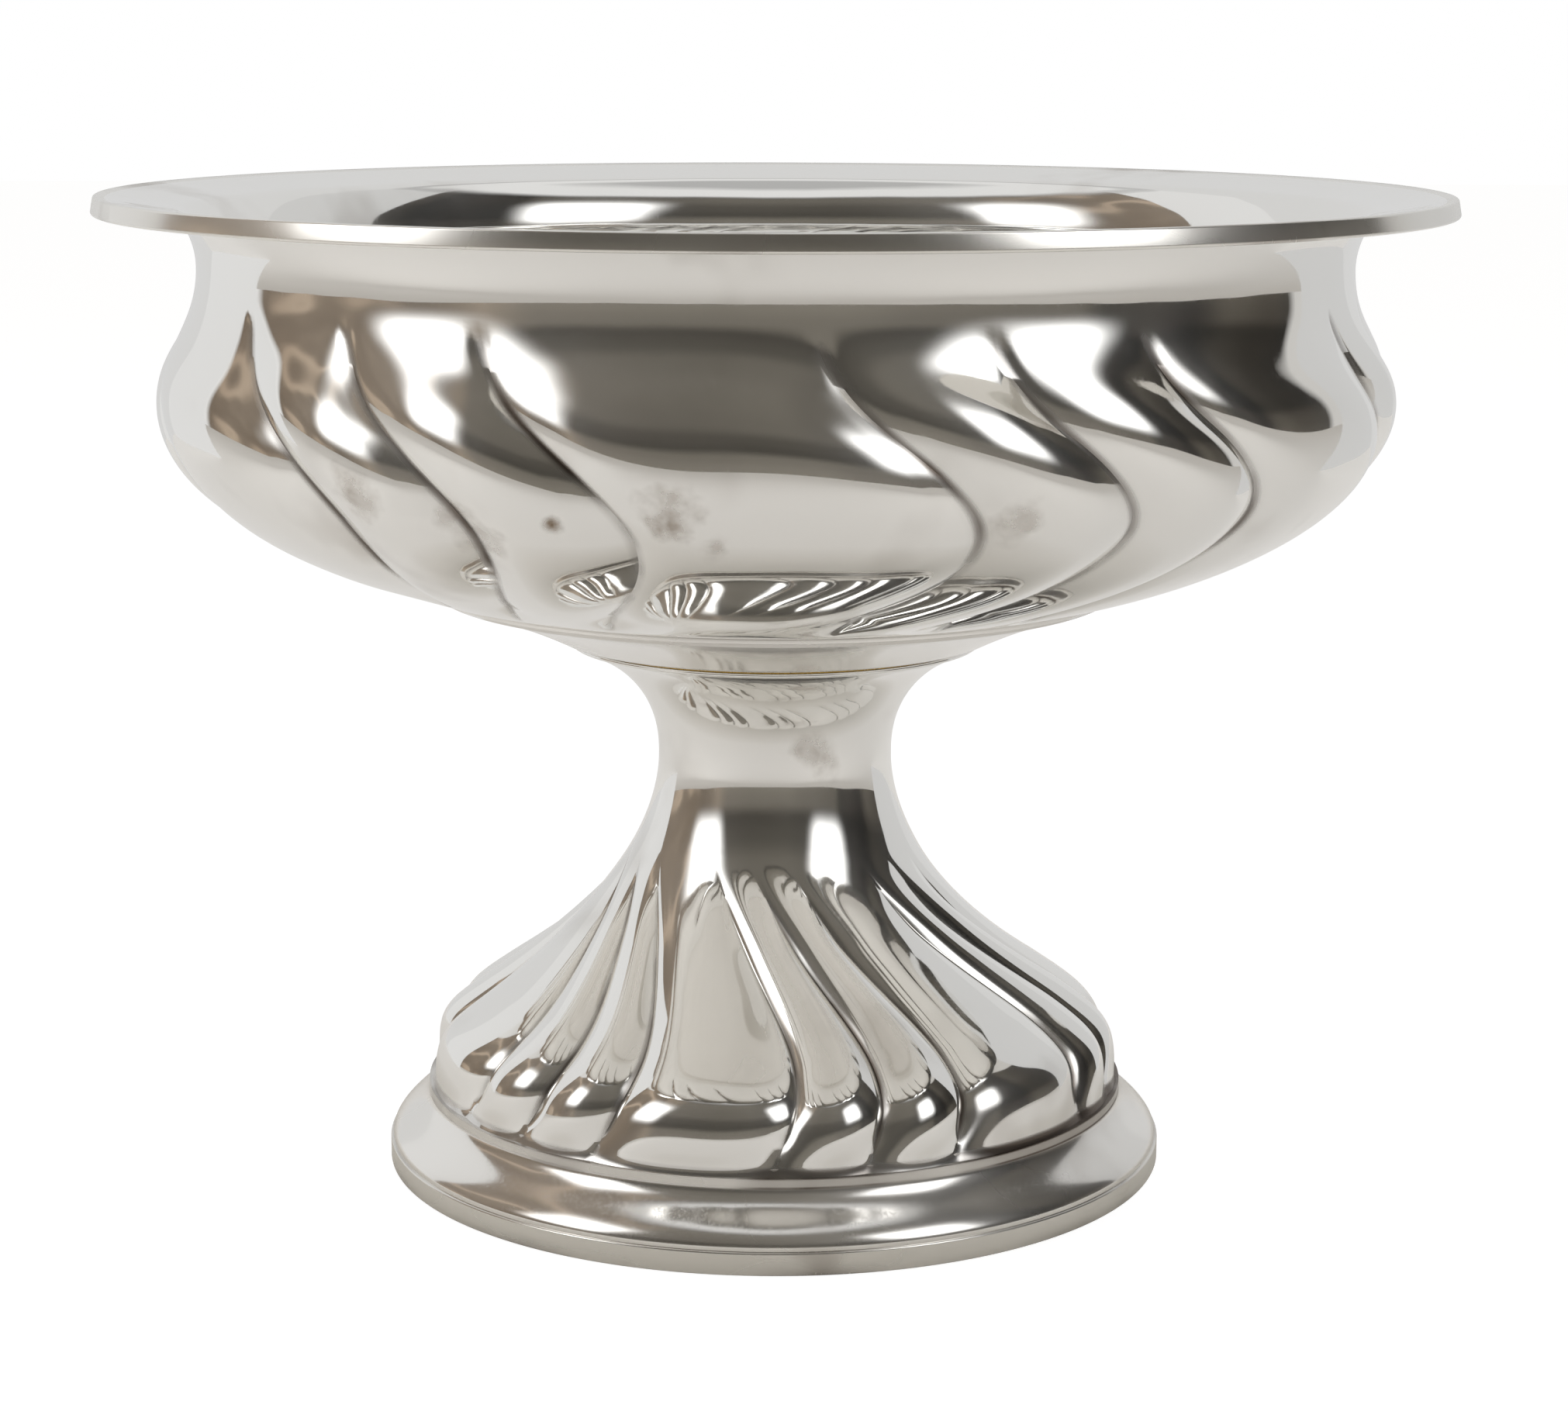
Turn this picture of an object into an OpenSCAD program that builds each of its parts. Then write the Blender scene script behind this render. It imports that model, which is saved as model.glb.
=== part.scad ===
// Footed compote bowl with swirled lobes.
// A raised bowl with a flat flange stands on a hollow trumpet foot. Both shells are chased with
// lobes that follow an S-shaped swirl, two narrow ones and a wide one in turn.
// Millimetres, Z up. The origin is the middle of the face that the foot rests on.

/* [Bowl] */
// Diameter over the rim wire
rim_d = 250; // [225:1:300]
// Width of the flange and its wire, from the neck outwards
flange_w = 18.45; // [13:0.05:26]
// Bulge of the lobe crowns beyond the neck at the widest line
belly_bulge = 8.15; // [4:0.05:14]
// Diameter of the flat bottom, where the lobes begin
bowl_base_d = 136; // [132:0.5:160]
// Height of the widest line above the flat bottom
belly_rise = 34.9; // [28:0.1:45]
// Height of the narrowest line above the widest one
neck_rise = 24.5; // [18:0.1:35]
// Radius of the flare above the neck, in section
flare_r = 14.5; // [10:0.1:20]
// Lean of the flare where it turns into the flange, in degrees from upright
flare_lean = 36; // [25:1:50]
// Radius of the turn from the flare to the flange
lip_r = 2.7; // [1:0.1:6]
// Rise of the flange from the neck to the rim, in degrees
flange_slope = 10.2; // [2:0.1:20]
// Thickness of the bowl's sheet
bowl_wall = 0.9; // [0.7:0.05:1.6]

/* [Rim wire] */
// Height of the wire
wire_h = 3.3; // [2:0.1:6]
// Width of the wire, measured along the radius
wire_w = 2.6; // [1.8:0.1:5]
// Height of the wire above the flange
wire_proud = 0.4; // [0.1:0.1:1]
// Radius of the wire's edges
wire_round = 0.8; // [0.2:0.05:0.9]

/* [Lobes] */
// Number of times that the set of lobes repeats
lobe_sets = 6; // [4:1:9]
// Depth of a crease of the bowl below the crowns beside it
bowl_crease = 3.2; // [1:0.1:5]
// Swing of the bowl's creases, in degrees
bowl_swing = 14.3; // [0:0.1:30]
// Distance along the bowl's wall from the flat bottom to where the creases swing back
bowl_swing_run = 44.4; // [30:0.1:60]
// Depth of a crease of the foot at the widest part of its dome
foot_crease = 2.7; // [1:0.1:4]
// Swing of the foot's creases, in degrees
foot_swing = 50; // [0:0.5:80]
// Distance along the foot's wall from the skirt to where the creases swing back
foot_swing_run = 16.8; // [10:0.1:30]
// Direction of the first crease where it swings back on the bowl, in degrees from the front
bowl_crease_start = 18; // [-30:0.1:30]
// Direction of the first crease where it swings back on the foot, in degrees from the front
foot_crease_start = 3.8; // [-30:0.1:30]

/* [Collar] */
// Inset of the collar's lip, which carries the bowl, from the edge of the bowl's flat bottom
collar_inset = 2.5; // [1:0.1:6]
// Height of the lip's edge
collar_lip_h = 1.4; // [0.8:0.1:3]
// Width of the step under the lip
collar_step = 1.7; // [0.5:0.1:3]
// Height of the plain edge between the step and the cove
collar_edge_h = 0.8; // [0.3:0.1:2]
// How far the collar's foot stands out over the trumpet's lip
collar_overhang = 2.6; // [0.5:0.1:6]
// Height of the collar
collar_h = 10.8; // [8:0.1:16]
// Thickness of the collar's sheet
collar_wall = 1; // [0.7:0.05:1.4]

/* [Foot] */
// Diameter over the lobe crowns of the dome
dome_d = 131.8; // [110:0.1:160]
// Height of the plain skirt under the lobes
skirt_h = 3.3; // [2:0.1:6]
// Height of the dome's shoulder above the skirt
shoulder_rise = 15.5; // [11:0.1:20]
// Inset of the shoulder, where the wall leans in most, from the skirt
shoulder_in = 11.1; // [8:0.1:14]
// Height of the lobed flank above the shoulder
flank_rise = 30; // [24:0.1:40]
// Swell of the stem beyond the waist where the lobes have faded out
fade_swell = 3.4; // [2:0.1:6]
// Height from there to the waist
waist_rise = 15; // [10:0.1:22]
// Diameter of the waist
waist_d = 44.4; // [38:0.1:46]
// Height of the trumpet mouth above the waist
mouth_rise = 20.7; // [16:0.1:28]
// Flare of the trumpet mouth's lip beyond the waist
mouth_flare = 16.4; // [12:0.1:20]
// Thickness of the foot's sheet
foot_wall = 0.8; // [0.7:0.05:1.2]

/* [Foot moulding and band] */
// Height of the band that the part stands on
band_h = 4.3; // [2.5:0.1:8]
// Width of the band, measured along the radius
band_w = 2.6; // [2:0.1:5]
// Radius of the band's edges
band_round = 0.4; // [0.1:0.05:0.9]
// Width of the ledge that the moulding's edge leaves on the band
band_ledge = 0.5; // [0.2:0.1:1]
// Width of the ledge that the moulding's upright fascia leaves round the dome
fascia_ledge = 0.9; // [0.3:0.1:3]
// Width of the ogee, from the fascia out to the moulding's edge
ogee_w = 7.1; // [5:0.1:12]
// Height of the fascia
fascia_h = 2.1; // [1:0.1:4]
// Height of the moulding from the band to the dome's seat
moulding_h = 10.9; // [8:0.1:16]
// Height of the upright edge at the foot of the moulding
moulding_edge_h = 0.7; // [0.3:0.1:2]
// Thickness of the moulding's sheet
moulding_wall = 0.9; // [0.7:0.05:1.3]

/* [Fixing inside the stem] */
// Diameter of the threaded stud
stud_d = 6; // [4:0.5:8]
// Clearance round the stud in each hole, on the radius
stud_clear = 0.3; // [0.1:0.05:0.6]
// Diameter of the plate that holds the stud to the bowl
stud_plate_d = 32; // [20:1:44]
// Thickness of that plate
stud_plate_h = 2; // [1:0.1:4]
// Length of thread that stands out below the nut
stud_end = 2; // [0.5:0.1:5]
// Inset of the cap, which closes the stem's mouth, from the mouth's lip
cap_inset = 2; // [1.5:0.1:4]
// Width of the conical seat of the cap on the flare of the stem
cap_seat_w = 2.4; // [1:0.1:5]
// Height of the dark gap that the cap leaves under the collar
cap_gap = 0.8; // [0.3:0.1:1.5]
// Diameter of the washer
washer_d = 18; // [14:0.5:24]
// Thickness of the washer
washer_h = 1.2; // [0.6:0.1:2]
// Width of the nut across its flats
nut_flats = 10; // [9:0.5:13]
// Height of the nut
nut_h = 5; // [3:0.1:8]

/* [Hidden] */
$fn = 96;

// Lobe widths in one set, as shares of the narrowest, and their sum
lobe_shares = [1, 1, 2];
set_share = 4;
// Mesh steps across the narrowest lobe, and rings along the two lobed walls
lobe_steps = 4;
bowl_rings = 19;
foot_rings = 14;
// Steps in a drawn curve and in a quarter round
curve_steps = 24;
round_steps = 6;
// A lobed wall reaches this far into the plain wall that it joins, this much thinner on each face
seam_lap = 1;
seam_inset = 0.1;
// Clearance between seated pieces that aren't flat, and how far a cut runs past a face
fit_gap = 0.05;
overrun = 1;

// Lengths over which the creases of the bowl grow from nothing at the bottom and at the neck
bowl_fade_low = 14;
bowl_fade_high = 19;
bowl_plain_low = 1.5;
bowl_plain_high = 3;
// Half a swing of the bowl's creases below and above the line where they swing back
bowl_swing_low = 60;
bowl_swing_high = 42.4;
// The same for the foot
foot_fade_low = 7;
foot_fade_high = 20;
foot_plain_low = 0.3;
foot_plain_high = 1.5;
foot_swing_low = 103.6;
foot_swing_high = 81;

// Leans of the drawn curves from upright, in degrees, positive towards the axis going up
flat_lean = -90;
shoulder_lean = 55;
fade_lean = 24.4;
mouth_lean = -69;
collar_low_lean = -63;
collar_high_lean = -76;
ogee_foot_lean = 12;
// Lengths of the curves' handles, as shares of the straight line between their ends
belly_low_shares = [0.002, 0.421];
belly_high_shares = [0.387, 0.332];
dome_shares = [0.416, 0.528];
flank_shares = [0.141, 0.436];
stem_shares = [0.581, 0.081];
mouth_shares = [0.61, 0.054];
collar_shares = [0.33, 0.33];
ogee_shares = [0.24, 0.24];

// Radii
rim_r = rim_d / 2;
wire_in_r = rim_r - wire_w;
neck_r = rim_r - flange_w;
belly_r = neck_r + belly_bulge;
bowl_base_r = bowl_base_d / 2;
bowl_floor_r = bowl_base_r - seam_lap / 2;
waist_r = waist_d / 2;
fade_r = waist_r + fade_swell;
mouth_r = waist_r + mouth_flare;
cap_r = mouth_r - cap_inset;
collar_r = bowl_base_r - collar_inset;
collar_cove_r = collar_r - collar_step;
collar_foot_r = mouth_r + collar_overhang;
dome_r = dome_d / 2;
shoulder_r = dome_r - shoulder_in;
fascia_r = dome_r + fascia_ledge;
moulding_r = fascia_r + ogee_w;
band_r = moulding_r + band_ledge;
stud_r = stud_d / 2;
stud_hole_r = stud_r + stud_clear;

// Heights, from the resting face up
dome_seat_z = band_h + moulding_h;
skirt_z = dome_seat_z + skirt_h;
shoulder_z = skirt_z + shoulder_rise;
fade_z = shoulder_z + flank_rise;
waist_z = fade_z + waist_rise;
mouth_z = waist_z + mouth_rise;
mouth_top_z = mouth_z - foot_wall * sin(mouth_lean);
collar_z = mouth_top_z + cap_gap;
bowl_z = collar_z + collar_h;
belly_z = bowl_z + belly_rise;
neck_z = belly_z + neck_rise;
lip_z = neck_z + (flare_r - lip_r) * sin(flare_lean);
lip_centre_r = neck_r + flare_r - (flare_r - lip_r) * cos(flare_lean);

// Angle of one mesh step, and the direction of the front, from +X
step_angle = 360 / (lobe_sets * set_share * lobe_steps);
front_angle = -90;
// Share of a path's length used to find its direction
probe_share = 0.002;

silver = [0.8, 0.79, 0.77];
worn_silver = [0.7, 0.69, 0.66];
steel = [0.6, 0.61, 0.63];
brass = [0.78, 0.64, 0.32];

// Direction of travel and outward direction at a lean
function travel(lean) = [-sin(lean), cos(lean)];
function outward(lean) = [cos(lean), sin(lean)];

function bezier(p, t) =
    pow(1 - t, 3) * p[0] + 3 * pow(1 - t, 2) * t * p[1]
    + 3 * (1 - t) * pow(t, 2) * p[2] + pow(t, 3) * p[3];

// A smooth curve between two points that leaves and arrives at the given leans
function curve(from, from_lean, to, to_lean, shares) =
    let (
        chord = norm(to - from),
        p = [from, from + shares[0] * chord * travel(from_lean),
             to - shares[1] * chord * travel(to_lean), to]
    )
    [for (i = [0:curve_steps]) bezier(p, i / curve_steps)];

function without_first(path) = [for (i = [1:len(path) - 1]) path[i]];
function reversed(path) = [for (i = [len(path) - 1:-1:0]) path[i]];

// Distance along a path to each of its points
function runs(path) =
    [for (i = 0, s = 0; i < len(path); i = i + 1, s = s + (i < len(path) ? norm(path[i] - path[i - 1]) : 0)) s];

function at(path, lengths, s) = [
    lookup(s, [for (i = [0:len(path) - 1]) [lengths[i], path[i][0]]]),
    lookup(s, [for (i = [0:len(path) - 1]) [lengths[i], path[i][1]]])
];

function unit(v) = v / norm(v);
function right_of(v) = [v[1], -v[0]];

// A path moved towards the axis and up by the thickness of its sheet
function inner_face(path, wall) = [
    for (i = [0:len(path) - 1])
        path[i] - wall * right_of(unit(path[min(i + 1, len(path) - 1)] - path[max(i - 1, 0)]))
];

function arc(centre, r, from, to) = [
    for (i = [0:round_steps])
        let (a = from + (to - from) * i / round_steps)
            centre + r * [cos(a), sin(a)]
];

// A rounded rectangle between two radii and two heights
function rounded_section(r_in, r_out, low, high, edge) = concat(
    arc([r_out - edge, low + edge], edge, -90, 0),
    arc([r_out - edge, high - edge], edge, 0, 90),
    arc([r_in + edge, high - edge], edge, 90, 180),
    arc([r_in + edge, low + edge], edge, 180, 270)
);

function eased(x) = let (c = max(0, min(1, x))) c * c * (3 - 2 * c);

// Place in one lobe, from -1 at its first crease to 1 at its last, for a place u in the set
function lobe_place(u, i = 0, start = 0) =
    i == len(lobe_shares) - 1 || u < start + lobe_shares[i]
        ? 2 * (u - start) / lobe_shares[i] - 1
        : lobe_place(u, i + 1, start + lobe_shares[i]);

// How far the creases have turned at a distance along the wall
function turned(s, swing, back) =
    let (reach = (s - back[0]) / (s < back[0] ? back[1] : back[2]))
    -swing * pow(sin(90 * max(-1, min(1, reach))), 2);

// Rings of a lobed wall: outer point, outward direction, turn, crease depth and thinning
function lobed_rings(path, leans, count, crease, swing, back, fade) =
    let (
        lengths = runs(path),
        total = lengths[len(path) - 1],
        widest = max([for (p = path) p[0]]),
        probe = total * probe_share,
        first = path[0],
        last = path[len(path) - 1]
    )
    concat(
        [[first - seam_lap * travel(leans[0]), outward(leans[0]), turned(0, swing, back), 0, seam_inset]],
        [for (i = [0:count])
            let (
                s = total * i / count,
                p = at(path, lengths, s),
                ahead = at(path, lengths, s + probe) - at(path, lengths, s - probe),
                fading = eased((s - fade[0]) / fade[1]) * eased((total - s - fade[3]) / fade[2]),
                end = i == 0 || i == count
            )
            [p, i == 0 ? outward(leans[0]) : i == count ? outward(leans[1]) : right_of(unit(ahead)),
             turned(s, swing, back), crease * p[0] / widest * fading, end ? seam_inset : 0]],
        [[last + seam_lap * travel(leans[1]), outward(leans[1]), turned(total, swing, back), 0, seam_inset]]
    );

// A sheet pressed into lobes. Its two faces are meshed between the same creases, which lie
// along mesh lines, and its ends are thinned and run into the plain walls that they join.
module lobed_wall(rings, wall, start) {
    steps = lobe_sets * set_share * lobe_steps;
    face = len(rings) * steps;
    faces_at = [for (ring = rings) [ring[4], wall - ring[4]]];
    points = [
        for (side = [0, 1], k = [0:len(rings) - 1], j = [0:steps - 1])
            let (
                ring = rings[k],
                place = lobe_place((j % (set_share * lobe_steps)) / lobe_steps),
                sunk = faces_at[k][side] + ring[3] * pow(place, 2),
                p = ring[0] - sunk * ring[1],
                angle = front_angle + start + ring[2] + j * step_angle
            )
            [p[0] * cos(angle), p[0] * sin(angle), p[1]]
    ];
    outer_faces = [
        for (k = [0:len(rings) - 2], j = [0:steps - 1], half = [0, 1])
            let (n = (j + 1) % steps, low = k * steps, high = low + steps)
            half == 0 ? [low + j, high + j, high + n] : [low + j, high + n, low + n]
    ];
    inner_faces = [for (f = outer_faces) [face + f[0], face + f[2], face + f[1]]];
    edges = [
        for (end = [0, 1], j = [0:steps - 1], half = [0, 1])
            let (
                n = (j + 1) % steps,
                ring = end * (len(rings) - 1) * steps,
                quad = [ring + j, ring + n, face + ring + n, face + ring + j],
                f = half == 0 ? [quad[0], quad[1], quad[2]] : [quad[0], quad[2], quad[3]]
            )
            end == 0 ? f : [f[0], f[2], f[1]]
    ];
    polyhedron(points, concat(outer_faces, inner_faces, edges), convexity = 8);
}

bowl_path = concat(
    curve([bowl_base_r, bowl_z], flat_lean, [belly_r, belly_z], 0, belly_low_shares),
    without_first(curve([belly_r, belly_z], 0, [neck_r, neck_z], 0, belly_high_shares))
);

dome_path = concat(
    curve([dome_r, skirt_z], 0, [shoulder_r, shoulder_z], shoulder_lean, dome_shares),
    without_first(curve([shoulder_r, shoulder_z], shoulder_lean, [fade_r, fade_z], fade_lean,
        flank_shares))
);

stem_path = concat(
    curve([fade_r, fade_z], fade_lean, [waist_r, waist_z], 0, stem_shares),
    without_first(curve([waist_r, waist_z], 0, [mouth_r, mouth_z], mouth_lean, mouth_shares))
);
stem_bore = inner_face(stem_path, foot_wall);

collar_path = concat(
    curve([collar_foot_r, collar_z], collar_low_lean,
        [collar_cove_r, bowl_z - collar_lip_h - collar_edge_h], collar_high_lean, collar_shares),
    [[collar_cove_r, bowl_z - collar_lip_h]]
);

moulding_path = concat(
    [[moulding_r, band_h]],
    curve([moulding_r, band_h + moulding_edge_h], ogee_foot_lean,
        [fascia_r, dome_seat_z - fascia_h], 0, ogee_shares),
    [[fascia_r, dome_seat_z]]
);

// Height of the stem's inner face in the trumpet, at a radius
function bore_z(r) = lookup(r, [for (p = stem_bore) if (p[1] > waist_z) p]);

module turned_solid(section) {
    rotate_extrude() polygon(section);
}

module disc(r_in, r_out, low, high) {
    translate([0, 0, low])
        difference() {
            cylinder(r = r_out, h = high - low);
            translate([0, 0, -overrun])
                cylinder(r = r_in, h = high - low + 2 * overrun);
        }
}

// One face of the flare and the lip, which lies this far above their undersides
function flared(lift) = concat(
    arc([neck_r + flare_r, neck_z], flare_r + lift, 180, 180 - flare_lean),
    without_first(arc([lip_centre_r, lip_z], lip_r + lift, 180 - flare_lean, 90 + flange_slope))
);

// Height of one face of the flange where it meets the wire
function flange_z(lift) =
    let (path = flared(lift), end = path[len(path) - 1])
    end[1] + (wire_in_r - end[0]) * tan(flange_slope);

// Raised bowl: flat bottom, lobed wall, plain neck, flare and flange in one sheet
module bowl() {
    color(silver)
        union() {
            lobed_wall(
                lobed_rings(bowl_path, [flat_lean, 0], bowl_rings, bowl_crease, bowl_swing,
                    [bowl_swing_run, bowl_swing_low, bowl_swing_high],
                    [bowl_plain_low, bowl_fade_low, bowl_fade_high, bowl_plain_high]),
                bowl_wall, bowl_crease_start);
            translate([0, 0, bowl_z])
                cylinder(r = bowl_floor_r, h = bowl_wall);
            turned_solid(concat(
                flared(0),
                [[wire_in_r, flange_z(0)], [wire_in_r, flange_z(bowl_wall)]],
                reversed(flared(bowl_wall))
            ));
        }
}

// Wire soldered round the edge of the flange
module rim_wire() {
    top = flange_z(bowl_wall) + wire_proud;
    color(worn_silver)
        turned_solid(rounded_section(wire_in_r, rim_r, top - wire_h, top, wire_round));
}

// Spun collar that carries the bowl, hollow above its foot
module collar() {
    bore = inner_face(collar_path, collar_wall);
    color(silver)
        turned_solid(concat(
            [[stud_hole_r, collar_z]], collar_path,
            [[collar_r, bowl_z - collar_lip_h], [collar_r, bowl_z], [collar_cove_r - collar_wall, bowl_z]],
            reversed([for (p = bore) if (p[1] > collar_z + collar_wall && p[1] < bowl_z - collar_lip_h) p]),
            [[stud_hole_r, collar_z + collar_wall]]
        ));
}

// Raised foot: plain skirt, lobed dome and flank, plain waist and trumpet mouth in one sheet
module foot_dome() {
    color(silver)
        union() {
            disc(dome_r - foot_wall, dome_r, dome_seat_z, skirt_z);
            lobed_wall(
                lobed_rings(dome_path, [0, fade_lean], foot_rings, foot_crease, foot_swing,
                    [foot_swing_run, foot_swing_low, foot_swing_high],
                    [foot_plain_low, foot_fade_low, foot_fade_high, foot_plain_high]),
                foot_wall, foot_crease_start);
            turned_solid(concat(stem_path, reversed(stem_bore)));
        }
}

// Stepped moulding under the dome: fascia, ogee and upright edge
module foot_moulding() {
    bore = inner_face(moulding_path, moulding_wall);
    color(silver)
        turned_solid(concat(
            moulding_path,
            [[dome_r - foot_wall - moulding_wall, dome_seat_z],
             [dome_r - foot_wall - moulding_wall, dome_seat_z - moulding_wall]],
            reversed([for (p = bore) if (p[1] < dome_seat_z - moulding_wall && p[1] > band_h) p]),
            [[bore[0][0], band_h]]
        ));
}

// Heavy band that the part stands on
module foot_band() {
    color(worn_silver)
        turned_solid(rounded_section(band_r - band_w, band_r, 0, band_h, band_round));
}

// Plate soldered under the bowl, which holds the stud
module stud_plate() {
    color(brass)
        translate([0, 0, bowl_z - stud_plate_h])
            cylinder(d = stud_plate_d, h = stud_plate_h);
}

cap_low_r = cap_r - cap_seat_w;
cap_low_z = bore_z(cap_low_r) + fit_gap;
washer_z = cap_low_z - washer_h;
nut_z = washer_z - nut_h;

// Stud that draws the bowl and the foot together
module stud() {
    low = nut_z - stud_end;
    color(steel)
        translate([0, 0, low])
            cylinder(r = stud_r, h = bowl_z - stud_plate_h - low);
}

// Cap that closes the trumpet mouth. Its side seats on the flare of the stem.
module stem_cap() {
    seat = [for (p = stem_bore) if (p[1] > waist_z && p[0] > cap_low_r && p[0] < cap_r) p];
    color(brass)
        turned_solid(concat(
            [[stud_hole_r, cap_low_z], [cap_low_r, cap_low_z]],
            [for (p = seat) [p[0], p[1] + fit_gap]],
            [[cap_r, bore_z(cap_r) + fit_gap], [cap_r, collar_z], [stud_hole_r, collar_z]]
        ));
}

// Washer under the cap
module washer() {
    color(steel)
        disc(stud_hole_r, washer_d / 2, washer_z, cap_low_z);
}

// Hexagonal nut on the stud
module nut() {
    color(brass)
        translate([0, 0, nut_z])
            difference() {
                cylinder(d = nut_flats / cos(30), h = nut_h, $fn = 6);
                translate([0, 0, -overrun])
                    cylinder(r = stud_r + fit_gap, h = nut_h + 2 * overrun);
            }
}

bowl();
rim_wire();
collar();
foot_dome();
foot_moulding();
foot_band();
stud_plate();
stud();
stem_cap();
washer();
nut();
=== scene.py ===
import math
import bpy
import numpy as np
from mathutils import Matrix, Vector


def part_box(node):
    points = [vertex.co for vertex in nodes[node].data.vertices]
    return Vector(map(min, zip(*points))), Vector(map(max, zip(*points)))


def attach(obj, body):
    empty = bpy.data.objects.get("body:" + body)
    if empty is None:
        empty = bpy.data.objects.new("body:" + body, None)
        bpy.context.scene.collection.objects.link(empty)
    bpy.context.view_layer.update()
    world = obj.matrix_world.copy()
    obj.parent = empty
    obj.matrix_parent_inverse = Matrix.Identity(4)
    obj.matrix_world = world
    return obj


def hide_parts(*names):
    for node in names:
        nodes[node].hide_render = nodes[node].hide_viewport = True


# A footed silver compote bowl. The two lobed shells, the collar, the moulding, the wire and the
# band are modelled here at their full smoothness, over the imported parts. The fixing in the stem is
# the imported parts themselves. Blender works in metres, and the drawings below are in millimetres.
MM = 0.001
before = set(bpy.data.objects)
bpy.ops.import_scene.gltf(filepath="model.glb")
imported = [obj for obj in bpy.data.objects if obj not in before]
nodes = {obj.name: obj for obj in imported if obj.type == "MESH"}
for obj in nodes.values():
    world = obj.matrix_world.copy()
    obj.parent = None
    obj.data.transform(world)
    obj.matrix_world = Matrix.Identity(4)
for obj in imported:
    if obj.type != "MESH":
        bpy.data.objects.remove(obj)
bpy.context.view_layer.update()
scene = bpy.context.scene
for start_piece in ("Cube", "Light", "Camera"):
    if start_piece in bpy.data.objects:
        bpy.data.objects.remove(bpy.data.objects[start_piece])
scene.view_settings.view_transform = "Standard"


# Sizes of the drawing, as packed: Z is a height over the table and R a radius. A lean is in
# degrees from upright, towards the axis, or away from it where it is negative. The neck's flare
# turns outwards through FLARE_TURN, and FLANGE_SLOPE is how far the flange is from level.

BOWL_Z, BELLY_Z, NECK_Z = 112.047, 146.947, 171.447
BOWL_BASE_R, BELLY_R, NECK_R, BOWL_WALL = 68, 114.7, 106.55, 0.9
FLARE_R, FLARE_TURN, LIP_R, FLANGE_SLOPE = 14.5, 36, 2.7, 10.2
WIRE_IN_R, RIM_R, WIRE_EDGE = 122.4, 125, 0.5

COLLAR_Z, COVE_Z, STEP_Z = 101.247, 109.847, 110.647
STUD_HOLE_R, COLLAR_FOOT_R, COVE_R, COLLAR_R = 3.3, 41.2, 63.8, 65.5
COLLAR_WALL, COLLAR_EDGE, COLLAR_FOOT_LEAN, COVE_LEAN = 1, 0.25, -63, -76

DOME_SEAT_Z, SKIRT_Z, SHOULDER_Z, FADE_Z, WAIST_Z, MOUTH_Z = 15.2, 18.5, 34, 64, 79, 99.7
DOME_R, SHOULDER_R, FADE_R, WAIST_R, MOUTH_R, FOOT_WALL = 65.9, 54.8, 25.6, 22.2, 38.6, 0.8
SHOULDER_LEAN, FADE_LEAN, MOUTH_LEAN = 55, 24.4, -69
SKIRT_FLARE, SKIRT_FLARE_TALL, SKIRT_LEAN, SKIRT_TOP_Z = 0.35, 1.8, 24, 17.8

OGEE_Z, OGEE_LEAN, FASCIA_Z, FASCIA_LEAN = 5, 12, 13.5, 7
OGEE_R, FASCIA_R, SEAT_IN_R, MOULDING_WALL = 73.9, 66.8, 64.2, 0.9
BAND_Z, BAND_IN_R, FOOT_R, BAND_EDGE = 4.3, 71.8, 74.4, 0.4
# how tall the darker lines along the fascia's top and foot are
DARK_LINE = 0.3

# Steps of the mesh round the axis. The lobed shells have a multiple of 24, so that every crease
# falls on a line of the mesh.
LOBED_STEPS, TURNED_STEPS, WIRE_STEPS = 432, 240, 288


# Drawing in section: a point is a radius and a height, and a path runs upwards.

def travel(lean):
    """The way that a wall with this lean goes up."""
    a = math.radians(lean)
    return Vector((-math.sin(a), math.cos(a)))


def outward(lean):
    """The way that its outer face looks."""
    a = math.radians(lean)
    return Vector((math.cos(a), math.sin(a)))


def curve(start, start_lean, end, end_lean, pulls, steps):
    """A smooth curve that leaves and arrives at the given leans. Its pulls say how strongly it
    keeps to each lean, as shares of the straight distance."""
    start, end = Vector(start), Vector(end)
    chord = (end - start).length
    a = start + travel(start_lean) * chord * pulls[0]
    b = end - travel(end_lean) * chord * pulls[1]
    points = []
    for i in range(steps + 1):
        t = i / steps
        points.append(start * (1 - t) ** 3 + a * (3 * t * (1 - t) ** 2)
                      + b * (3 * t * t * (1 - t)) + end * t ** 3)
    return points


def arc(centre, r, start, end, steps=8):
    """Part of a circle between two angles, in degrees."""
    return [Vector(centre) + outward(start + (end - start) * i / steps) * r
            for i in range(steps + 1)]


def line(start, end, steps):
    """A straight run of points, without its last one."""
    start, end = Vector(start), Vector(end)
    return [start.lerp(end, i / steps) for i in range(steps)]


def even(path, step):
    """The same path with its points a step apart."""
    lengths = [0]
    for a, b in zip(path, path[1:]):
        lengths.append(lengths[-1] + (b - a).length)
    count = max(1, round(lengths[-1] / step))
    points, k = [], 0
    for i in range(count + 1):
        s = lengths[-1] * i / count
        while k < len(path) - 2 and lengths[k + 1] < s:
            k += 1
        points.append(path[k].lerp(path[k + 1], (s - lengths[k]) / (lengths[k + 1] - lengths[k])))
    return points


def normals(path):
    """The way that the outer face looks at each point of a path."""
    sides = []
    for i in range(len(path)):
        t = path[min(i + 1, len(path) - 1)] - path[max(i - 1, 0)]
        sides.append(Vector((t.y, -t.x)).normalized())
    return sides


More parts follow.
